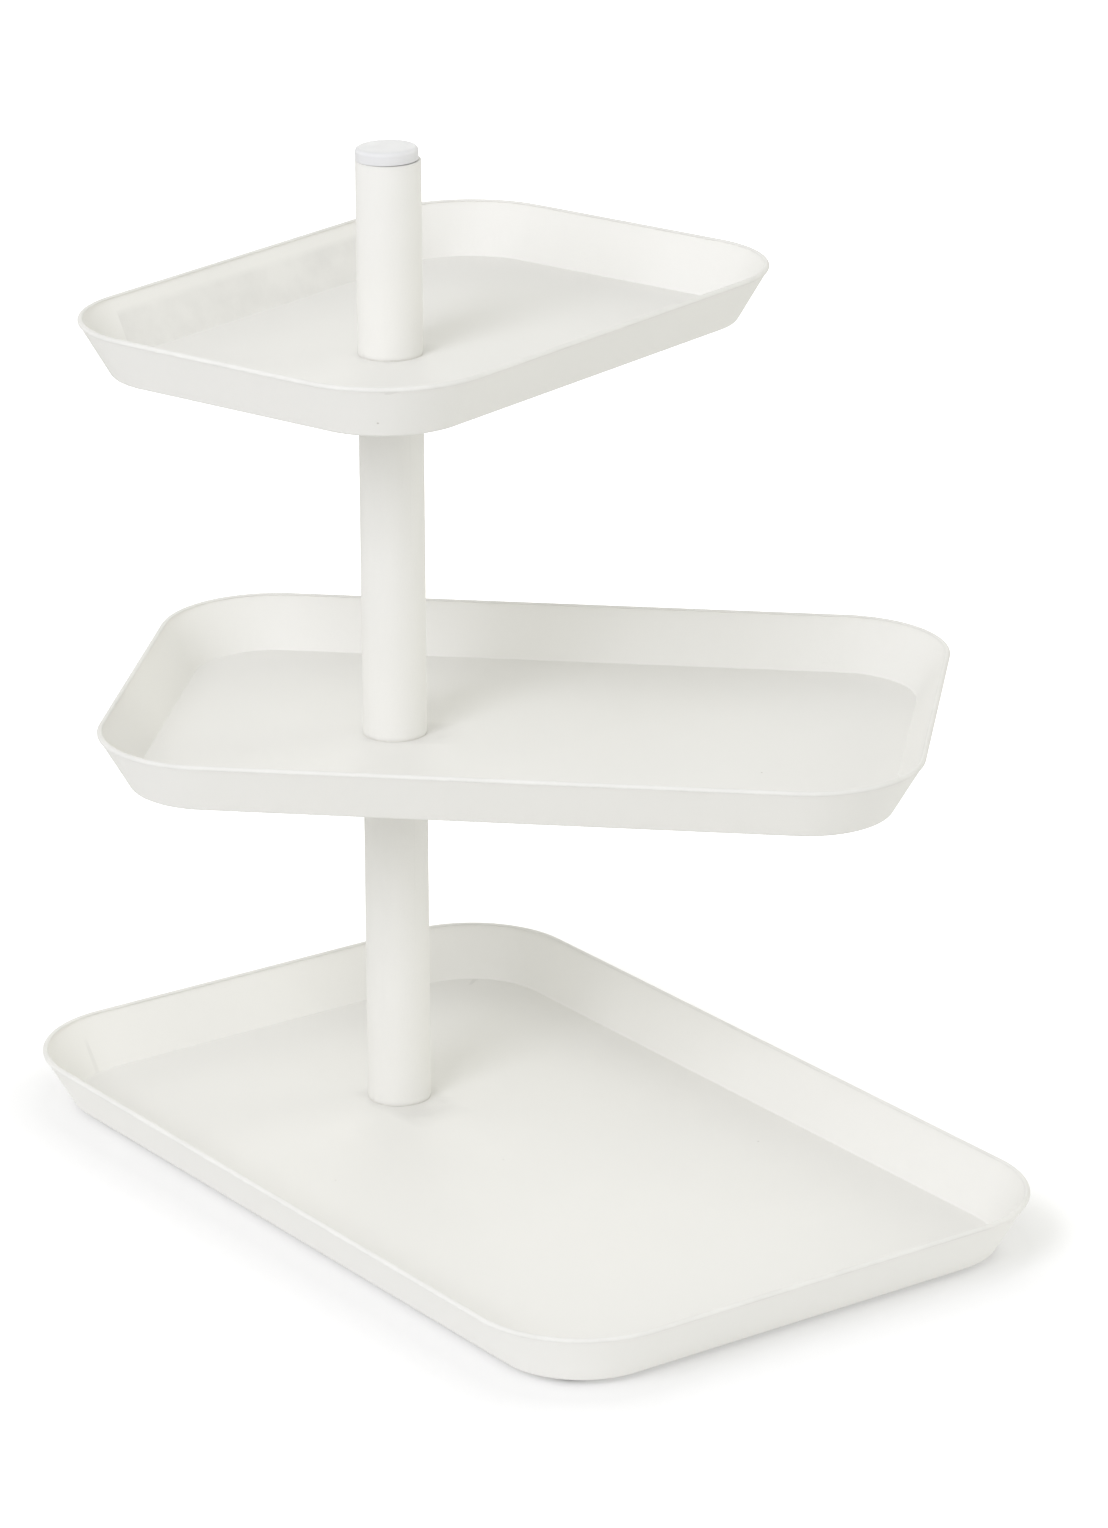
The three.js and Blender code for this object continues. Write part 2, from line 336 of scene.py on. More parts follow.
# %% [markdown]
# ## The end cap
# A moulded plug closes the hand hold. Its head is a millimetre narrower than the tube. The plug
# went in a little askew: it sits on one side of the rim and leaves a dark gap open on the other.
# The head's top is a touch crowned, its rim is well rounded, and a hollow spigot with two grip
# rings goes down into the tube.

# %% End cap
CAP_HEAD_HEIGHT = 5.0 * MM
CAP_EDGE = 1.7 * MM
CAP_LOW_EDGE = 0.15 * MM
CAP_POLE = 0.02 * MM  # a profile stops this far from the axis, and a fan closes it
CAP_SEAT_GAP = 0.1 * MM
CAP_CROWN = 0.15 * MM
SPIGOT_WALL = 1.4 * MM
SPIGOT_EDGE = 0.4 * MM
GRIP_RING = 0.6 * MM
GRIP_RING_HEIGHT = 1.2 * MM
GRIP_RING_SHARES = (0.7, 0.35)  # of the spigot's length
GRIP_ROOT = 0.1 * MM
GRIP_EDGE = 0.15 * MM
CAP_LEAN = Vector((-0.585, -0.811, 0)) * 0.45 * MM
CAP_TILT = math.radians(0.9)
GRIP_SLACK = 0.8 * MM


def end_cap(name, head_radius, spigot_radius, spigot_length):
    core = spigot_radius - GRIP_RING
    corners = [
        (CAP_POLE, 0, 0),
        (core - SPIGOT_WALL, 0, SPIGOT_EDGE),
        (core - SPIGOT_WALL, -spigot_length, SPIGOT_EDGE),
        (core, -spigot_length, SPIGOT_EDGE),
    ]
    for share in GRIP_RING_SHARES:
        depth = share * spigot_length
        corners.append((core, -depth - GRIP_RING_HEIGHT, GRIP_ROOT))
        corners.append((spigot_radius - GRIP_SLACK, -depth - GRIP_RING_HEIGHT / 2, GRIP_EDGE))
        corners.append((core, -depth, GRIP_ROOT))
    corners += [
        (core, 0, GRIP_ROOT),
        (head_radius, 0, CAP_LOW_EDGE),
        (head_radius, EDGE_BAND, 0),
        (head_radius, CAP_HEAD_HEIGHT - CAP_CROWN, CAP_EDGE),
        (head_radius - CAP_EDGE - EDGE_BAND, CAP_HEAD_HEIGHT - CAP_CROWN / 2, 0),
        (CAP_POLE, CAP_HEAD_HEIGHT, 0),
    ]
    return turned(name, corners, sides=128, steps=9)


cap_low, cap_high = level("end_cap")
spigot_length = cap_high - cap_low - CAP_HEAD_HEIGHT
head_z = cap_high - CAP_HEAD_HEIGHT - CAP_SEAT_GAP
cap = end_cap("end_cap_moulding", radius_of("end_cap"), tube_radius - TUBE_WALL, spigot_length)
lift = Vector((0, 0, math.sin(CAP_TILT) * radius_of("end_cap")))
place(cap, "end_cap", Vector((post_axis.x, post_axis.y, head_z)) + CAP_LEAN + lift,
      "base_and_post", "cap_plastic")
cap.rotation_mode = "QUATERNION"
cap.rotation_quaternion = Quaternion(CAP_LEAN.cross(Vector((0, 0, 1))), -CAP_TILT)
print("cap spigot:", round(spigot_length / MM, 1), "mm long")

# %% [markdown]
# ## Washers and feet
# Thin milky washers let the trays turn on the tube ends. They are a hair narrower than the tube
# and nearly fill the small gap that the model leaves above and below them, so all that shows is a
# fine line of shadow. The feet are stick-on rubber buttons, with a domed edge and a flat face to
# stand on.

# %% Washers and feet
WASHER_EDGE = 0.06 * MM
WASHER_SQUEEZE = 0.08 * MM
FOOT_EDGE = 0.9 * MM
FOOT_RIM = 0.25 * MM
FOOT_TAPER = 0.2 * MM
FOOT_POLE = 0.05 * MM

for node in [name for name in sorted(frame["nodes"]) if name.endswith("washer")]:
    radius, height = radius_of(node), height_of(node)
    bottom, top = -WASHER_SQUEEZE, height + WASHER_SQUEEZE
    corners = [
        (STUD_HOLE_RADIUS, bottom, WASHER_EDGE),
        (radius, bottom, WASHER_EDGE),
        (radius, top, WASHER_EDGE),
        (STUD_HOLE_RADIUS, top, WASHER_EDGE),
    ]
    piece = turned(node + "_punched", corners, steps=3, closed=True)
    at = Vector((post_axis.x, post_axis.y, level(node)[0]))
    place(piece, node, at, "base_and_post", "nylon")

for node in [name for name in sorted(frame["nodes"]) if name.startswith("foot")]:
    low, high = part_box(node)
    radius, height = radius_of(node), height_of(node)
    corners = [
        (FOOT_POLE, 0, 0),
        (radius - FOOT_TAPER, 0, FOOT_EDGE),
        (radius, height, FOOT_RIM),
        (FOOT_POLE, height, 0),
    ]
    piece = turned(node + "_button", corners, steps=8)
    at = Vector(((low.x + high.x) / 2, (low.y + high.y) / 2, low.z))
    place(piece, node, at, "base_and_post", "foot_rubber")
print("pieces so far:", len(made))

# %% [markdown]
# ## Threads
# The screw, the studs and the inserts in the tube ends hold the stand together. A thread is one
# ridge wound round a rod, so a ring's radius can be worked out from its height and its angle: the
# ridge climbs one pitch for each turn. The same formula cuts the inserts, a hair wider, and the
# two mesh. The ridge fades out at both ends, as a chamfered thread does.

# %% Threaded pieces
PITCH = 1.25 * MM
THREAD_DEPTH = 0.65 * MM
THREAD_RADIUS = 4.0 * MM
THREAD_GAP = 0.1 * MM
RIDGE_SLOPE = 2.6  # depths climbed in one pitch
RIDGE_ROOT = 0.15  # the part of that climb which the flat root cuts off
RINGS_PER_PITCH = 8
THREAD_SIDES = 40
RUN_OUT = 1.0 * MM
SOCKET_DEPTH = 3.0 * MM
DRILL_RADIUS = 0.3  # of the width across flats
DRILL_POINT = 0.4 * MM
CHAMFER_RADIUS = 1.19  # of half the width across flats
CHAMFER_DEPTH = 0.25 * MM
STUD_KEY = 4.0 * MM
SCREW_KEY = 5.0 * MM
SCREW_KEY_RIM = 3.2 * MM
INSERT_EDGE = 0.6 * MM


def thread_rings(radius, bottom, top, base_z):
    """Rings of a thread between two heights. Base_z ties the ridge to the stand, so parts mesh."""
    count = round((top - bottom) / PITCH * RINGS_PER_PITCH)
    angle = np.arange(THREAD_SIDES) / THREAD_SIDES * 2 * math.pi
    rings = []
    for z in np.linspace(bottom, top, count + 1):
        turn = ((z + base_z) / PITCH - angle / (2 * math.pi)) % 1.0
        ridge = np.clip(RIDGE_SLOPE * np.abs(turn - 0.5) - RIDGE_ROOT, 0, 1)
        fade = min(1.0, (z - bottom) / RUN_OUT, (top - z) / RUN_OUT)
        r = radius - THREAD_DEPTH * (ridge * fade + (1 - fade))
        rings.append(np.column_stack([r * np.cos(angle), r * np.sin(angle), np.full(len(angle), z)]))
    return rings


def hexagon_ring(across_flats, z):
    """A hexagon with as many points as a thread's ring."""
    angle = np.arange(THREAD_SIDES) / THREAD_SIDES * 2 * math.pi
    to_flat = (angle + math.pi / 6) % (math.pi / 3) - math.pi / 6
    r = across_flats / 2 / np.cos(to_flat)
    return np.column_stack([r * np.cos(angle), r * np.sin(angle), np.full(len(angle), z)])


def socket(across_flats, mouth_z):
    """Rings of a hexagon socket that opens downwards, from its bottom out to its mouth."""
    floor_z = mouth_z + SOCKET_DEPTH
    drill = circle(across_flats * DRILL_RADIUS, floor_z + DRILL_POINT, THREAD_SIDES)
    chamfer = circle(across_flats / 2 * CHAMFER_RADIUS, mouth_z, THREAD_SIDES)
    return [drill, hexagon_ring(across_flats, floor_z),
            hexagon_ring(across_flats, mouth_z + CHAMFER_DEPTH), chamfer]


def stud(name, length, base_z):
    rings = socket(STUD_KEY, 0)
    rings += thread_rings(THREAD_RADIUS, 0, length, base_z)
    return skin(name, rings)


def insert(name, radius, length, base_z):
    wall = soften([(THREAD_RADIUS, 0, 0), (radius, 0, INSERT_EDGE),
                   (radius, length, INSERT_EDGE), (THREAD_RADIUS, length, 0)])
    rings = [circle(r, z, THREAD_SIDES) for r, z in wall]
    bore = thread_rings(THREAD_RADIUS + THREAD_GAP, 0, length, base_z)
    return skin(name, rings + bore[::-1], looped=True)


HEAD_HEIGHT = 1.4 * MM
HEAD_EDGE = 0.45 * MM
HEAD_TOP_EDGE = 0.2 * MM


def base_screw(name, head_radius, length, base_z):
    """Zero is the head's top face. The head has a flat face, a rounded rim and a hexagon socket."""
    rings = socket(SCREW_KEY, -HEAD_HEIGHT)
    head = soften([(SCREW_KEY_RIM, -HEAD_HEIGHT, 0), (head_radius, -HEAD_HEIGHT, HEAD_EDGE),
                   (head_radius, 0, HEAD_TOP_EDGE), (THREAD_RADIUS, 0, 0)])
    rings += [circle(r, z, THREAD_SIDES) for r, z in head]
    rings += thread_rings(THREAD_RADIUS, 0, length, base_z)
    return skin(name, rings)


for node in ("middle_stud", "top_stud"):
    low, high = level(node)
    piece = stud(node + "_thread", high - low, low)
    place(piece, node, Vector((post_axis.x, post_axis.y, low)), "base_and_post", "zinc_steel")

for node in [name for name in sorted(frame["nodes"]) if name.endswith("insert")]:
    low, high = level(node)
    piece = insert(node + "_bush", radius_of(node), high - low, low)
    place(piece, node, Vector((post_axis.x, post_axis.y, low)), "base_and_post", "zinc_steel")

low, high = level("base_screw")
head_top = low + HEAD_HEIGHT
piece = base_screw("base_screw_flathead", radius_of("base_screw"), high - head_top, head_top)
place(piece, "base_screw", Vector((post_axis.x, post_axis.y, head_top)),
      "base_and_post", "zinc_steel")
print("pieces made:", len(made), "for", len(frame["nodes"]), "nodes")

# %% [markdown]
# ## Shared effects
# Several finishes need the same small effects, each with its own scale and strength. So each
# effect is a node group with named inputs, built once: a fine relief, soft clouds that vary a
# value, rare specks, and a mask for worn edges. A group hands on a value or a colour that changes
# over the surface. The shader itself stays in each material, where its plain numbers are easy to
# find.

# %% Group tools
MM_PER_METRE = 1000.0  # a noise scale counts cells in a metre


def new_group(name, inputs, outputs):
    """An empty shader node group with float inputs (name, default) and outputs (name, kind)."""
    group = bpy.data.node_groups.new(name, "ShaderNodeTree")
    for title, default in inputs:
        made_socket = group.interface.new_socket(title, in_out="INPUT", socket_type="NodeSocketFloat")
        made_socket.default_value = default
    for title, kind in outputs:
        group.interface.new_socket(title, in_out="OUTPUT", socket_type=kind)
    return group, group.nodes.new("NodeGroupInput"), group.nodes.new("NodeGroupOutput")


def shader_node(tree, kind, **values):
    """A node with some of its inputs or settings set by name."""
    made_node = tree.nodes.new(kind)
    for title, value in values.items():
        title = title.replace("_", " ")
        match = [s for s in made_node.inputs if s.name.lower() == title]
        if match:
            match[0].default_value = value
        else:
            setattr(made_node, title.replace(" ", "_"), value)
    return made_node


def math_node(tree, operation, first, second=None, clamp=False):
    """A Math node. First and second are sockets or numbers."""
    made_node = tree.nodes.new("ShaderNodeMath")
    made_node.operation = operation
    made_node.use_clamp = clamp
    for index, value in enumerate((first, second)):
        if isinstance(value, (int, float)):
            made_node.inputs[index].default_value = value
        elif value is not None:
            tree.links.new(value, made_node.inputs[index])
    return made_node.outputs[0]


def spread(tree, value, low, high, to_low, to_high):
    """Maps a value between two limits on to two others."""
    made_node = tree.nodes.new("ShaderNodeMapRange")
    tree.links.new(value, made_node.inputs["Value"])
    for title, number in (("From Min", low), ("From Max", high),
                          ("To Min", to_low), ("To Max", to_high)):
        if isinstance(number, (int, float)):
            made_node.inputs[title].default_value = number
        else:
            tree.links.new(number, made_node.inputs[title])
    return made_node.outputs["Result"]


# %% [markdown]
# **Orange peel.** A cured powder coat is never quite flat. It has a fine ripple, about a
# millimetre from crest to crest, on top of a slower swell. Two noises of different size, added
# with more weight on the swell, give a height for a Bump node.

# %% Orange peel group
peel, taken, given = new_group(
    "orange peel",
    [("Ripple size mm", 1.0), ("Swell size mm", 6.0), ("Swell share", 0.5)],
    [("Height", "NodeSocketFloat")],
)
where = shader_node(peel, "ShaderNodeTexCoord")
heights = []
for title, detail in (("Ripple size mm", 2.0), ("Swell size mm", 1.0)):
    noise = shader_node(peel, "ShaderNodeTexNoise", detail=detail, roughness=0.45)
    scale = math_node(peel, "DIVIDE", MM_PER_METRE, taken.outputs[title])
    peel.links.new(scale, noise.inputs["Scale"])
    peel.links.new(where.outputs["Object"], noise.inputs["Vector"])
    heights.append(noise.outputs["Fac"])
swell = math_node(peel, "MULTIPLY", heights[1], taken.outputs["Swell share"])
peel.links.new(math_node(peel, "ADD", heights[0], swell), given.inputs["Height"])

# %% [markdown]
# **Clouds.** Nothing has exactly the same tone or gloss all over. A large soft noise, stretched
# to fill the range from one value to another, stands for uneven coating and for where hands and
# cloths have been.

# %% Clouds group
clouds, taken, given = new_group(
    "clouds",
    [("Size mm", 60.0), ("Low", 0.0), ("High", 1.0), ("Seed", 0.0)],
    [("Value", "NodeSocketFloat")],
)
where = shader_node(clouds, "ShaderNodeTexCoord")
noise = shader_node(clouds, "ShaderNodeTexNoise", noise_dimensions="4D", detail=3.0, roughness=0.55)
clouds.links.new(where.outputs["Object"], noise.inputs["Vector"])
clouds.links.new(taken.outputs["Seed"], noise.inputs["W"])
scale = math_node(clouds, "DIVIDE", MM_PER_METRE, taken.outputs["Size mm"])
clouds.links.new(scale, noise.inputs["Scale"])
value = spread(clouds, noise.outputs["Fac"], 0.3, 0.7, taken.outputs["Low"], taken.outputs["High"])
clouds.links.new(value, given.inputs["Value"])

# %% [markdown]
# **Specks.** Here and there a grain of dust is caught in the coat, or a dark fleck sits on it. A
# Voronoi pattern scatters points. Only the few cells whose random colour is above a limit keep
# theirs, as small round dots.

# %% Specks group
specks, taken, given = new_group(
    "specks",
    [("Spacing mm", 9.0), ("Dot size mm", 0.35), ("Share", 0.12)],
    [("Mask", "NodeSocketFloat")],
)
where = shader_node(specks, "ShaderNodeTexCoord")
cells = shader_node(specks, "ShaderNodeTexVoronoi")
specks.links.new(where.outputs["Object"], cells.inputs["Vector"])
scale = math_node(specks, "DIVIDE", MM_PER_METRE, taken.outputs["Spacing mm"])
specks.links.new(scale, cells.inputs["Scale"])
split = shader_node(specks, "ShaderNodeSeparateColor")
specks.links.new(cells.outputs["Color"], split.inputs["Color"])
reach = math_node(specks, "DIVIDE", taken.outputs["Dot size mm"], taken.outputs["Spacing mm"])
dot = math_node(specks, "LESS_THAN", cells.outputs["Distance"],
                math_node(specks, "MULTIPLY", reach, split.outputs["Green"]))
kept = math_node(specks, "LESS_THAN", split.outputs["Red"], taken.outputs["Share"])
specks.links.new(math_node(specks, "MULTIPLY", dot, kept), given.inputs["Mask"])

# %% [markdown]
# ** Edge rub and rim shade.** Rims and corners are wiped and gripped the most, so they wear.
# Pointiness says how far a spot stands out from what is round it: half is flat, and on a
# finely rounded edge it is only a little more. A little noise breaks the mask up, so that the mark
# isn't an even line. On the cap the mask is wear; on the powder coat it also carries painted shade.

# %% Edge rub and rim shade group
# the mask marks worn edges, and in the powder coat it also places painted shade on the rims
edge_rub_and_shade, taken, given = new_group(
    "edge rub and rim shade",
    [("Start", 0.508), ("Full", 0.522), ("Patch size mm", 14.0)],
    [("Mask", "NodeSocketFloat")],
)
shape = shader_node(edge_rub_and_shade, "ShaderNodeNewGeometry")
sharp = spread(edge_rub_and_shade, shape.outputs["Pointiness"],
               taken.outputs["Start"], taken.outputs["Full"], 0.0, 1.0)
where = shader_node(edge_rub_and_shade, "ShaderNodeTexCoord")
noise = shader_node(edge_rub_and_shade, "ShaderNodeTexNoise", detail=3.0)
edge_rub_and_shade.links.new(where.outputs["Object"], noise.inputs["Vector"])
scale = math_node(edge_rub_and_shade, "DIVIDE", MM_PER_METRE, taken.outputs["Patch size mm"])
edge_rub_and_shade.links.new(scale, noise.inputs["Scale"])
patches = spread(edge_rub_and_shade, noise.outputs["Fac"], 0.35, 0.65, 0.4, 1.0)
mask = math_node(edge_rub_and_shade, "MULTIPLY", sharp, patches, clamp=True)
edge_rub_and_shade.links.new(mask, given.inputs["Mask"])

# %% [markdown]
# ## Finishes
# A small helper starts each material with a Principled shader and places groups in it. Plain
# numbers, such as the specular level, go straight on the shader.

# %% Material tools


def new_material(name, **plain):
    """A material with one Principled shader, whose plain inputs are set by name."""
    material = bpy.data.materials.new(name)
    material.use_nodes = True
    tree = material.node_tree
    shader = tree.nodes["Principled BSDF"]
    for title, value in plain.items():
        shader.inputs[title.replace("_", " ")].default_value = value
    return material, tree, shader


def use(tree, group, **values):
    """Places a group in a material with its own values."""
    placed = tree.nodes.new("ShaderNodeGroup")
    placed.node_tree = group
    for title, value in values.items():
        placed.inputs[title.replace("_", " ")].default_value = value
    return placed.outputs[0]


def mix(tree, mask, first, second):
    """Two colours mixed by a mask. Each may be a colour or a socket."""
    mixer = tree.nodes.new("ShaderNodeMix")
    mixer.data_type = "RGBA"
    tree.links.new(mask, mixer.inputs["Factor"])
    for socket_index, value in ((6, first), (7, second)):
        if isinstance(value, tuple):
            mixer.inputs[socket_index].default_value = value
        else:
            tree.links.new(value, mixer.inputs[socket_index])
    return mixer.outputs[2]


def bump(tree, shader, height, depth_mm, strength=1.0):
    """Feeds a height to the shader as relief of a real depth."""
    relief = tree.nodes.new("ShaderNodeBump")
    relief.inputs["Strength"].default_value = strength
    relief.inputs["Distance"].default_value = depth_mm * MM
    tree.links.new(height, relief.inputs["Height"])
    tree.links.new(relief.outputs["Normal"], shader.inputs["Normal"])


# %% [markdown]
# ** Powder coat.** Warm off-white with a satin, almost matt face. Its tone drifts by a percent or
# so, and specks are rare and small. On sharp rims the tone is a touch greyer, painted shade that
# dims their bright line, and wiping has made them smoother. The relief is only a few
# hundredths of a millimetre deep, because a deeper one looks like plaster.

# %% Powder coat
COAT = (0.80, 0.793, 0.763, 1)
COAT_COOL = (0.79, 0.785, 0.757, 1)
# painted shade: the greyer tone given to rims and edges to dim their bright line
COAT_RIM_SHADE = (0.715, 0.709, 0.683, 1)
SPECK = (0.42, 0.40, 0.36, 1)

powder_coat, tree, shader = new_material("powder coat", Specular_IOR_Level=0.35)
tone = mix(tree, use(tree, clouds, Size_mm=70.0, Seed=1.0), COAT, COAT_COOL)
rub_and_rim_shade = use(tree, edge_rub_and_shade, Start=0.508, Full=0.522)
# painted shade darkens the rims and edges here; the same mask also makes them smoother below
tone = mix(tree, rub_and_rim_shade, tone, COAT_RIM_SHADE)
fleck = use(tree, specks, Spacing_mm=11.0, Dot_size_mm=0.5, Share=0.1)
tone = mix(tree, math_node(tree, "MULTIPLY", fleck, 0.55), tone, SPECK)
tree.links.new(tone, shader.inputs["Base Color"])
gloss = use(tree, clouds, Size_mm=38.0, Low=0.56, High=0.66, Seed=4.0)
gloss = math_node(tree, "SUBTRACT", gloss, math_node(tree, "MULTIPLY", rub_and_rim_shade, 0.08))
tree.links.new(gloss, shader.inputs["Roughness"])
bump(tree, shader, use(tree, peel, Ripple_size_mm=0.9, Swell_size_mm=5.0, Swell_share=1.2), 0.035)

# %% [markdown]
# **Cap plastic.** The plug is a cooler and slightly darker white than the coat. Moulds for such
# plugs are spark-eroded, which leaves an even, very fine grain with no direction.

# %% Cap plastic
PLUG = (0.705, 0.707, 0.716, 1)
PLUG_LIGHT = (0.72, 0.722, 0.729, 1)
PLUG_RUBBED = (0.73, 0.73, 0.73, 1)

cap_plastic, tree, shader = new_material("cap plastic", Specular_IOR_Level=0.5)
tone = mix(tree, use(tree, clouds, Size_mm=9.0, Seed=7.0), PLUG, PLUG_LIGHT)
rub_and_rim_shade = use(tree, edge_rub_and_shade, Start=0.508, Full=0.522, Patch_size_mm=5.0)
tone = mix(tree, math_node(tree, "MULTIPLY", rub_and_rim_shade, 0.5), tone, PLUG_RUBBED)
tree.links.new(tone, shader.inputs["Base Color"])
gloss = use(tree, clouds, Size_mm=6.0, Low=0.42, High=0.52, Seed=9.0)
tree.links.new(gloss, shader.inputs["Roughness"])
bump(tree, shader, use(tree, peel, Ripple_size_mm=0.25, Swell_size_mm=2.5, Swell_share=0.3), 0.012)

# %% [markdown]
# **Nylon.** The washers are natural nylon, a milky white that is close to the coat, so only the
# hairline of shadow between the parts is seen. It is smoother where it has been rubbed.

# %% Nylon
MILKY = (0.70, 0.69, 0.65, 1)
MILKY_LIGHT = (0.76, 0.75, 0.71, 1)

nylon, tree, shader = new_material("washer nylon", Specular_IOR_Level=0.4)
tone = mix(tree, use(tree, clouds, Size_mm=5.0, Seed=11.0), MILKY, MILKY_LIGHT)
tree.links.new(tone, shader.inputs["Base Color"])
gloss = use(tree, clouds, Size_mm=3.0, Low=0.4, High=0.55, Seed=12.0)
tree.links.new(gloss, shader.inputs["Roughness"])
bump(tree, shader, use(tree, peel, Ripple_size_mm=0.3, Swell_size_mm=3.0), 0.01)

# %% [markdown]
# **Rubber.** The feet are black and matt. Dust clings to rubber, so it is lighter in soft
# patches, and the face has a fine grain from the mould.

# %% Rubber
BLACK = (0.018, 0.018, 0.019, 1)
DUSTY = (0.09, 0.088, 0.084, 1)

foot_rubber, tree, shader = new_material("foot rubber", Specular_IOR_Level=0.3)
dust = use(tree, clouds, Size_mm=4.0, Low=0.0, High=0.5, Seed=14.0)
tone = mix(tree, dust, BLACK, DUSTY)
tree.links.new(tone, shader.inputs["Base Color"])
gloss = use(tree, clouds, Size_mm=2.5, Low=0.7, High=0.9, Seed=15.0)
tree.links.new(gloss, shader.inputs["Roughness"])
bump(tree, shader, use(tree, peel, Ripple_size_mm=0.2, Swell_size_mm=1.5), 0.02)

# %% [markdown]
# **Zinc-plated steel.** The screw, studs and inserts were turned and then plated. The tool left
# fine rings about the axis. Plating dulls them and tints the metal faintly blue and straw. The
# rings come from the distance to the axis and the height together, so they show on flat faces
# and on the sides.

# %% Zinc steel
ZINC_BLUE = (0.60, 0.62, 0.65, 1)
ZINC_STRAW = (0.68, 0.66, 0.60, 1)
RINGS_PER_METRE = 6000.0

zinc_steel, tree, shader = new_material("zinc steel", Metallic=1.0)
tone = mix(tree, use(tree, clouds, Size_mm=5.0, Seed=21.0), ZINC_BLUE, ZINC_STRAW)
tree.links.new(tone, shader.inputs["Base Color"])
where = tree.nodes.new("ShaderNodeTexCoord")
axes = tree.nodes.new("ShaderNodeSeparateXYZ")
tree.links.new(where.outputs["Object"], axes.inputs["Vector"])
square = math_node(tree, "ADD", math_node(tree, "MULTIPLY", axes.outputs["X"], axes.outputs["X"]),
                   math_node(tree, "MULTIPLY", axes.outputs["Y"], axes.outputs["Y"]))
from_axis = math_node(tree, "SQRT", square)
travel = math_node(tree, "ADD", from_axis, axes.outputs["Z"])
rings = tree.nodes.new("ShaderNodeTexNoise")
rings.noise_dimensions = "1D"
tree.links.new(math_node(tree, "MULTIPLY", travel, RINGS_PER_METRE), rings.inputs["W"])
gloss = spread(tree, rings.outputs["Fac"], 0.3, 0.7, 0.28, 0.46)
tree.links.new(gloss, shader.inputs["Roughness"])
bump(tree, shader, rings.outputs["Fac"], 0.006)

# %% Give each piece its finish
FINISHES = {
    "powder_coat": powder_coat,
    "cap_plastic": cap_plastic,
    "nylon": nylon,
    "foot_rubber": foot_rubber,
    "zinc_steel": zinc_steel,
}
for piece, slot in made:
    piece.data.materials.append(FINISHES[slot])
print("finishes used:", sorted({slot for _, slot in made}))

# %% [markdown]
# ## The table
# The stand is shown on a plain white surface. A faint glow of its own lifts the trays' undersides,
# and fades out with the distance, as on a table of some real size. The camera sees a steadier
# glow, which grows just outside the base, so that only the soft shadow close to it shows. Seen
# from below the surface is clear, so that the underside of the stand can be looked at as well.

# %% Floor
FLOOR_HALF = 9.0
FLOOR_WHITE = 0.66
TABLE_GLOW = 0.28  # cast on the stand
TABLE_REACH = 0.7
SHOWN_GLOW = 0.23  # shown to the camera, next to the base and farther out
SHOWN_FAR_GLOW = 0.85
SHADOW_REACH = 0.11


def floor_material():
    material = bpy.data.materials.new("white table")
    material.use_nodes = True
    tree = material.node_tree
    shader = tree.nodes["Principled BSDF"]
    shader.inputs["Base Color"].default_value = (FLOOR_WHITE, FLOOR_WHITE, FLOOR_WHITE, 1)
    shader.inputs["Roughness"].default_value = 0.8
    shader.inputs["Specular IOR Level"].default_value = 0.2
    shader.inputs["Emission Color"].default_value = (1, 1, 1, 1)
    low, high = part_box("base_tray")
    corner = Vector((RIM_CORNER_RADIUS, RIM_CORNER_RADIUS, 0))
    away = tree.nodes.new("ShaderNodeTexCoord").outputs["Object"]
    for operation, operand in (("SUBTRACT", (low + high) / 2), ("ABSOLUTE", None),
                               ("SUBTRACT", (high - low) / 2 - corner), ("MAXIMUM", (0, 0, 0)),
                               ("LENGTH", None)):
        step = tree.nodes.new("ShaderNodeVectorMath")
        step.operation = operation
        tree.links.new(away, step.inputs[0])
        if operand is not None:
            step.inputs[1].default_value = operand
        away = step.outputs["Value" if operation == "LENGTH" else "Vector"]
    rim = RIM_CORNER_RADIUS
    cast = spread(tree, away, rim, rim + TABLE_REACH, TABLE_GLOW, 0.0)
    shown = spread(tree, away, rim, rim + SHADOW_REACH, SHOWN_GLOW, SHOWN_FAR_GLOW)
    seen = tree.nodes.new("ShaderNodeLightPath").outputs["Is Camera Ray"]
    tree.links.new(spread(tree, seen, 0.0, 1.0, cast, shown), shader.inputs["Emission Strength"])
    clear = tree.nodes.new("ShaderNodeBsdfTransparent")
    side = tree.nodes.new("ShaderNodeNewGeometry")
    choose = tree.nodes.new("ShaderNodeMixShader")
    tree.links.new(side.outputs["Backfacing"], choose.inputs["Fac"])
    tree.links.new(shader.outputs[0], choose.inputs[1])
    tree.links.new(clear.outputs[0], choose.inputs[2])
    tree.links.new(choose.outputs[0], tree.nodes["Material Output"].inputs["Surface"])
    return material


floor_mesh = bpy.data.meshes.new("table")
corners = [(x * FLOOR_HALF, y * FLOOR_HALF, 0) for x, y in ((-1, -1), (1, -1), (1, 1), (-1, 1))]
floor_mesh.from_pydata(corners, [], [(0, 1, 2, 3)])
floor = bpy.data.objects.new("table", floor_mesh)
bpy.context.scene.collection.objects.link(floor)
floor_mesh.materials.append(floor_material())

# %% [markdown]
# ## Light
# White things on white need light that comes from everywhere, and a little more from one side.
# The surroundings give an even, slightly warm glow. Two wide panels stand on the left, in front,
# and draw soft shadows of the post to the right across the trays; their size sets how soft. Weak
# panels all round keep the far walls and the outer faces from going dull.

# %% Lights
CAMERA_TURN = math.radians(54.22)
LIT_HEIGHT = 0.2  # the lights point at the post, this far above the table
right = Vector((math.cos(CAMERA_TURN), math.sin(CAMERA_TURN), 0))
front = Vector((math.sin(CAMERA_TURN), -math.cos(CAMERA_TURN), 0))
up = Vector((0, 0, 1))
middle = Vector((post_axis.x, post_axis.y, LIT_HEIGHT))


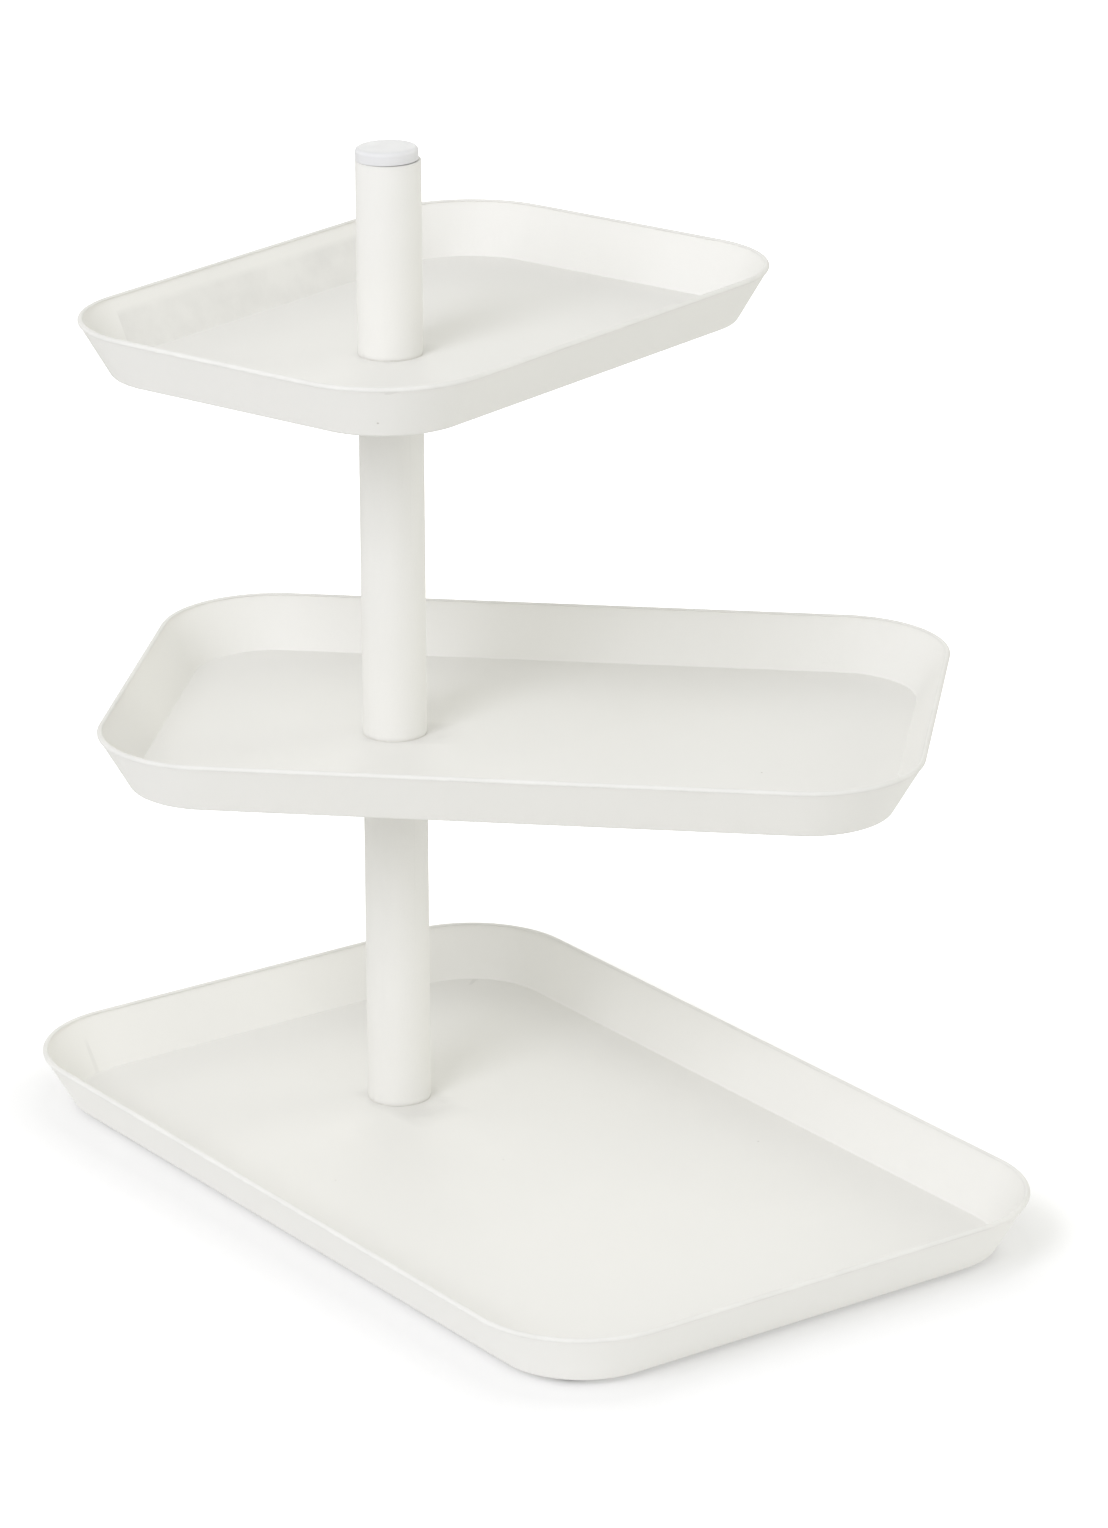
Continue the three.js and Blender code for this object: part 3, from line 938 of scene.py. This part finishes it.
def panel(name, turn, rise, power, tint=(1.0, 1.0, 1.0), size=1.3, distance=2.6):
    """A round soft light. Turn is its angle to the right of the camera, rise its height, in degrees."""
    turn, rise = math.radians(turn), math.radians(rise)
    level_way = right * math.sin(turn) + front * math.cos(turn)
    direction = level_way * math.cos(rise) + up * math.sin(rise)
    data = bpy.data.lights.new(name, "AREA")
    data.shape = "DISK"
    data.size = size
    data.energy = power
    data.color = tint
    light = bpy.data.objects.new(name, data)
    bpy.context.scene.collection.objects.link(light)
    light.location = middle + direction * distance
    light.rotation_euler = (middle - light.location).to_track_quat("-Z", "Y").to_euler()


DAYLIGHT = (0.98, 0.98, 1.07)
REFLECTED = (1.0, 1.0, 0.95)
SURROUNDINGS = (1.0, 1.0, 0.965, 1)
SURROUNDINGS_STRENGTH = 0.72

panel("key", -30, 33, 22, DAYLIGHT)
panel("high key", -40, 50, 5, DAYLIGHT, size=1.0)
panel("right fill", 110, 12, 13, REFLECTED, size=1.6)
panel("right front fill", 55, 8, 4, REFLECTED, size=1.6)
panel("front fill", 5, 22, 4.5, REFLECTED, size=1.6)
panel("left fill", -115, 12, 6.5, REFLECTED, size=1.6)
panel("back fill", 180, 15, 8, REFLECTED, size=1.6)

world = bpy.data.worlds.new("studio")
bpy.context.scene.world = world
world.use_nodes = True
background = world.node_tree.nodes["Background"]
background.inputs["Color"].default_value = SURROUNDINGS
background.inputs["Strength"].default_value = SURROUNDINGS_STRENGTH
bpy.context.scene.view_settings.view_transform = "Standard"

# %% [markdown]
# ## Camera
# A long lens from well back keeps the trays' sides almost parallel. The camera looks down by a
# little under twenty degrees, past the front corner of the base tray.

# %% Camera
LENS = 143.1
CAMERA_DISTANCE = 2.3641
CAMERA_DROP = math.radians(19.58)
CAMERA_ROLL = math.radians(-0.17)
AIM_RIGHT = 0.0617
AIM_HEIGHT = 0.1426

back = front * math.cos(CAMERA_DROP) + up * math.sin(CAMERA_DROP)
aim = post_axis + right * AIM_RIGHT + up * AIM_HEIGHT
data = bpy.data.cameras.new("camera")
data.lens = LENS
data.sensor_width = 36.0
data.clip_start, data.clip_end = 0.05, 50.0
camera = bpy.data.objects.new("camera", data)
bpy.context.scene.collection.objects.link(camera)
camera.location = aim + back * CAMERA_DISTANCE
camera.rotation_mode = "QUATERNION"
camera.rotation_quaternion = Quaternion(back, CAMERA_ROLL) @ (-back).to_track_quat("-Z", "Y")
bpy.context.scene.camera = camera
